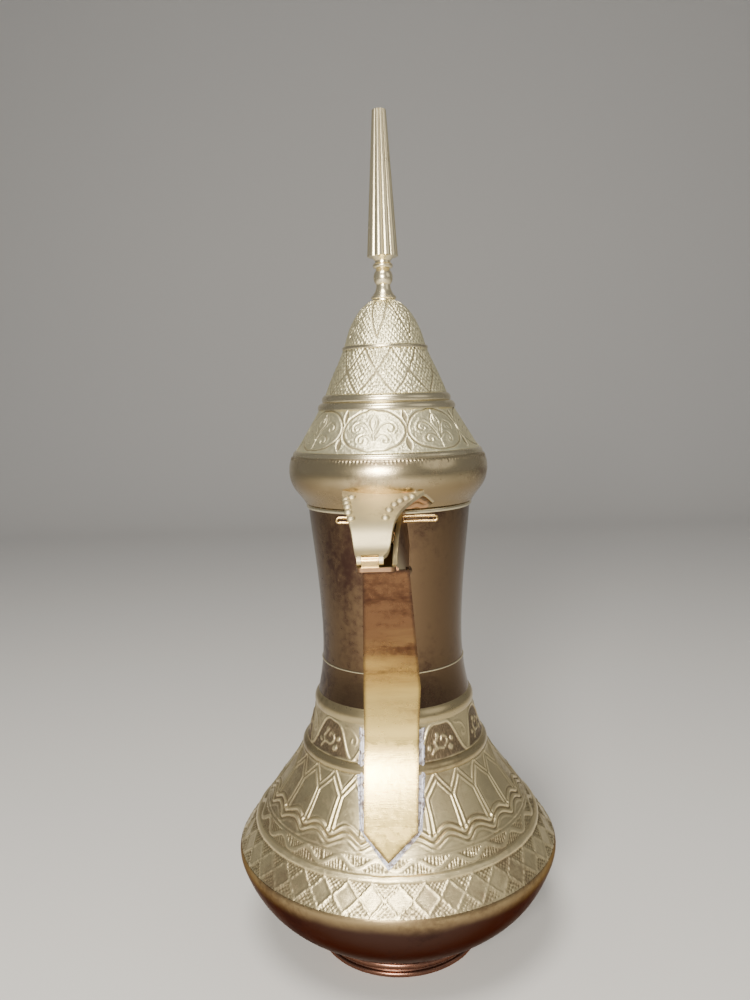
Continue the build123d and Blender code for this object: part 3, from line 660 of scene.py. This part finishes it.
def make_skirt():
    """The bulge under the lid's cone, a little uneven, with chiselled ticks along its upper edge."""
    low, high = 182.3, 202.0
    aims = [(z, 0.0) for z in np.linspace(low + 0.05, high - 0.05, 30)]
    skin = Skin(section("lid_skirt", aims), spacing=0.36, columns=900)
    share, cell, number = skin.cells(170)
    rng = np.random.default_rng(131)
    tall, lean = rng.uniform(0.7, 1.7, 170)[number], rng.uniform(-0.25, 0.25, 170)[number]
    x = share * cell + lean * (skin.along - skin.at(199.5)) * 0.4
    top = skin.at(200.7)
    foot = soft_step(skin.along, top - tall - 0.3, top - tall + 0.2)
    ticks = line(x, 0.75) * foot * soft_step(-skin.along, -top - 0.2, -top)
    skin.relief += 0.14 * ticks - 0.14 * line(skin.along - top - 0.1, 0.6)
    skin.relief += skin.waver(0.035, 132, (2, 14), (0.02, 0.3))
    # Coppery patch under the tongue's wing, below an uneven raised edge.
    x, y = skin.turn * 37.0, skin.height
    edge = y - np.interp(x, [4.0, 8.4, 17.5], [189.6, 189.2, 184.6])
    patch = soft_step(-edge, 0.0, 0.3) * soft_step(x, 4.4, 5.2) * soft_step(-x, -16.8, -15.6)
    tear = chain_distance(x, y, [(9.5, 189.0), (13.5, 187.4), (17.5, 184.6)])
    crease = chain_distance(x, y + 0.8, [(9.5, 189.0), (17.5, 184.6)])
    ripples = np.sin(3.1 * y + 1.5 * np.sin(x))
    skin.tarnish[:] = patch * (0.75 + 0.25 * ripples)
    skin.relief += 0.5 * line(tear, 1.1) - 0.4 * line(crease, 0.9)
    skin.relief += 0.10 * patch * ripples
    inner = section("lid_skirt", aims, inside=True)
    turned_piece("lid_skirt_beaten", skin, inner, skirt_brass, "lid", "lid_skirt")


# ---------------------------------------------------------------- small pieces
def add_piece(name, points, faces, material, body):
    mesh = bpy.data.meshes.new(name)
    mesh.from_pydata([tuple(p) for p in points], [], faces)
    mesh.shade_smooth()
    mesh.materials.append(material)
    piece = bpy.data.objects.new(name, mesh)
    bpy.context.scene.collection.objects.link(piece)
    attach(piece, body)
    return piece


def tube(name, path, widths, material, body, closed=False, sides=10):
    """A round strand along a path in mm, with its half thickness at every point."""
    path = np.array(path, float)
    ahead = np.roll(path, -1, 0) - np.roll(path, 1, 0)
    if not closed:
        ahead[0], ahead[-1] = path[1] - path[0], path[-1] - path[-2]
    ahead /= np.linalg.norm(ahead, axis=1)[:, None]
    out = np.cross(ahead, (0.0, -0.3, 1.0))
    out /= np.linalg.norm(out, axis=1)[:, None]
    up = np.cross(out, ahead)
    angles = np.arange(sides) * 2 * pi / sides
    ring = out[:, None] * np.cos(angles)[None, :, None] + up[:, None] * np.sin(angles)[None, :, None]
    points = (path[:, None] + ring * np.asarray(widths, float)[:, None, None]).reshape(-1, 3) * MM
    count = len(path)
    faces = []
    for i in range(count if closed else count - 1):
        a, b = i * sides, (i + 1) % count * sides
        faces += [(a + k, a + (k + 1) % sides, b + (k + 1) % sides, b + k) for k in range(sides)]
    if not closed:
        faces += [tuple(range(sides))[::-1], tuple(range((count - 1) * sides, count * sides))]
    return add_piece(name, points, faces, material, body)


def make_neck_line():
    """The thin raised line round the lower neck."""
    level = 119.4
    radius = float(section("neck", [(level + d, 0.0) for d in (-1.0, 0.0, 1.0)], degree=2)[0](0.5))
    turns = np.linspace(0, 2 * pi, 240, endpoint=False)
    path = [(radius * sin(t), -radius * cos(t), level) for t in turns]
    tube("neck_line", path, [0.35] * len(path), trim_brass, "pot", closed=True, sides=8)


def make_tongue_beads():
    """Round beads punched up along both edges of the lid's tongue, closer together at its root."""
    tree = mesh_tree("lid_tongue")
    left = [(-13.0, 0.44), (-14.0, 0.31), (-14.3, 0.20), (-14.7, 0.12), (-15.0, 0.05), (-13.0, 0.0)]
    right = [(-1.3, 0.44), (0.0, 0.28), (1.9, 0.17), (3.9, 0.10), (6.0, 0.05), (8.2, 0.015), (10.4, 0.0)]
    points, faces = [], []
    rings, sides, bead = 5, 18, 1.55
    for x, share in left + right:
        y = -39.0 - share * 27.0
        place, normal = tree.ray_cast(Vector((x * MM, y * MM, 0.3)), Vector((0, 0, -1)))[:2]
        if place is None:
            continue
        turn = normal.to_track_quat("Z", "Y")
        first = len(points)
        for i in range(rings + 1):
            rise = i / rings * pi / 2
            for k in range(sides):
                around = 2 * pi * k / sides
                local = Vector((bead * cos(rise) * cos(around), bead * cos(rise) * sin(around),
                                0.7 * bead * sin(rise) - 0.15))
                points.append(place + turn @ (local * MM))
        for i in range(rings):
            a, b = first + i * sides, first + (i + 1) * sides
            faces += [(a + k, a + (k + 1) % sides, b + (k + 1) % sides, b + k) for k in range(sides)]
        faces.append(tuple(range(first, first + sides))[::-1])
    add_piece("tongue_beads", points, faces, tongue_brass, "lid")


def make_solder_run():
    """Lumpy run of solder along both sides of the strap's foot and round its tip."""
    tree = mesh_tree("shoulder")
    edge = [(-12.5, 99.5), (-12.6, 88.0), (-12.7, 76.0), (-12.8, 69.0), (-11.5, 66.6), (-7.0, 62.2),
            (-3.4, 59.2), (0.4, 62.2), (6.4, 66.6), (8.4, 69.0), (9.5, 76.0), (10.2, 88.0), (10.5, 99.5)]
    rng = np.random.default_rng(141)
    path, widths = [], []
    for (ax, az), (bx, bz) in zip(edge, edge[1:]):
        for t in np.arange(0, 1, 0.6 / np.hypot(bx - ax, bz - az)):
            x, z = ax + t * (bx - ax) + rng.normal(0, 0.12), az + t * (bz - az) + rng.normal(0, 0.12)
            hit = tree.ray_cast(Vector((x * MM, -0.3, z * MM)), Vector((0, 1, 0)))[0]
            path.append(tuple(hit / MM + Vector((0, -0.15, 0.1))))
            widths.append(0.75 + 0.15 * sin(len(path) * 0.45) + rng.uniform(-0.15, 0.15))
    tube("solder_run", path, widths, solder, "pot")


add_camera()
add_studio()
add_backdrop()

brown, dark_brown = (0.34, 0.19, 0.10), (0.09, 0.045, 0.03)
chased_lid = old_brass("chased_lid", (0.95, 0.87, 0.55), (0.60, 0.51, 0.31), 0.38, dulled=0.2,
                       chased=True, grainy=0.7)
chased_body = old_brass("chased_body", (0.69, 0.58, 0.33), (0.31, 0.24, 0.145), 0.34, dulled=0.5,
                        chased=True, grainy=0.7, grounded=(0.24, 0.17, 0.11))
# Below the bulge's widest the skirt is painted darker: painted shade on its down-facing lower half.
skirt_brass = old_brass("skirt_brass", (0.57, 0.47, 0.28), (0.27, 0.19, 0.11), 0.24, (1, 1, 2.5),
                        dulled=0.4, chased=True, grainy=0.15, grounded=(0.62, 0.33, 0.16),
                        lower=(0.1925, 0.007, (0.31, 0.23, 0.125), (0.17, 0.115, 0.06)))
tongue_brass = old_brass("tongue_brass", (0.62, 0.53, 0.32), (0.34, 0.27, 0.17), 0.50, dulled=0.45,
                         grainy=0.3)
trim_brass = old_brass("trim_brass", (0.74, 0.65, 0.42), (0.36, 0.29, 0.18), 0.25, dulled=0.35, grainy=0.15)
# The neck's very dark brown is partly brown tarnish and partly a painted dark reflection; the bracket and
# rivets share it.
neck_brass = old_brass("neck_brass", (0.175, 0.115, 0.066), (0.068, 0.036, 0.028), 0.22, (1, 1, 0.3),
                       dulled=0.55, grainy=0.15)
solder = lead_solder()
finishes = {
    # The bowl's dark red-brown under the strip below the seam is partly tarnish and partly a painted dark
    # reflection.
    old_brass("bowl_brass", (0.34, 0.25, 0.13), (0.18, 0.12, 0.065), 0.30, dulled=0.5, grainy=0.15,
              scratch=(1, 1, 12), lower=(0.0412, 0.006, (0.074, 0.043, 0.036), (0.040, 0.025, 0.022)),
              grazing=(0.40, 0.33, 0.30)): ["bowl"],
    old_brass("foot_brass", (0.22, 0.11, 0.075), (0.09, 0.04, 0.032), 0.26, dulled=0.5, grainy=0.15,
              grazing=(0.5, 0.3, 0.26)): ["foot_ring"],
    chased_body: ["shoulder"],
    chased_lid: ["lid_cone", "lid_dome"],
    skirt_brass: ["lid_skirt", "lid_bezel"],
    neck_brass: ["neck", "handle_bracket", "handle_rivets"],
    tongue_brass: ["lid_tongue"],
    old_brass("waist_brass", (0.54, 0.44, 0.24), (0.27, 0.20, 0.11), 0.28, dulled=0.4, grainy=0.15): [
        "lower_waist_band", "upper_waist_band"],
    trim_brass: ["rim_bead", "lid_joint_bead", "lid_band", "lid_wire"],
    old_brass("spout_brass", (0.58, 0.45, 0.24), (0.24, 0.16, 0.09), 0.28, dulled=0.5, grainy=0.2): [
        "spout", "spout_collar", "spout_rivets", "spout_strainer"],
    # The strap's dark brown top is partly tarnish and partly a painted dark reflection; its pale foot below
    # 120 mm is partly a painted highlight where it turns up to the lamps; edges paints shade along its
    # rims.
    old_brass("strap_brass", (0.22, 0.115, 0.058), (0.08, 0.035, 0.022), 0.24, (0.6, 0.6, 3.0), dulled=0.5,
              grainy=0.25, scratch=(1, 1, 12), lower=(0.120, 0.05, (0.88, 0.66, 0.22), (0.48, 0.30, 0.11)),
              edges=True): ["handle_strap"],
    # The arm's dark brown flank and its pale tops are painted shade and painted light on one brass, set by
    # which way each face turns.
    old_brass("arm_brass", (0.34, 0.20, 0.11), dark_brown, 0.30, dulled=0.4, grainy=0.2,
              lit_tops=(0.80, 0.68, 0.42)): ["handle_arm"],
    old_brass("wire_brass", (0.66, 0.46, 0.19), brown, 0.24, dulled=0.4, grainy=0.2): [
        "tie_wire", "hinge_pin", "hinge_tab"],
    old_brass("finial_brass", (0.95, 0.83, 0.53), (0.42, 0.33, 0.20), 0.25, dulled=0.3, grainy=0.1): [
        "finial_base", "finial_stem", "finial_spire", "finial_rod", "finial_washer", "finial_nut"],
    solder: ["handle_solder"],
}
for finish, dressed in finishes.items():
    for name in dressed:
        mesh = nodes[name].data
        mesh.materials.clear()
        mesh.materials.append(finish)

make_shoulder()
make_cone()
make_dome()
make_skirt()
make_neck_line()
make_tongue_beads()
make_solder_run()
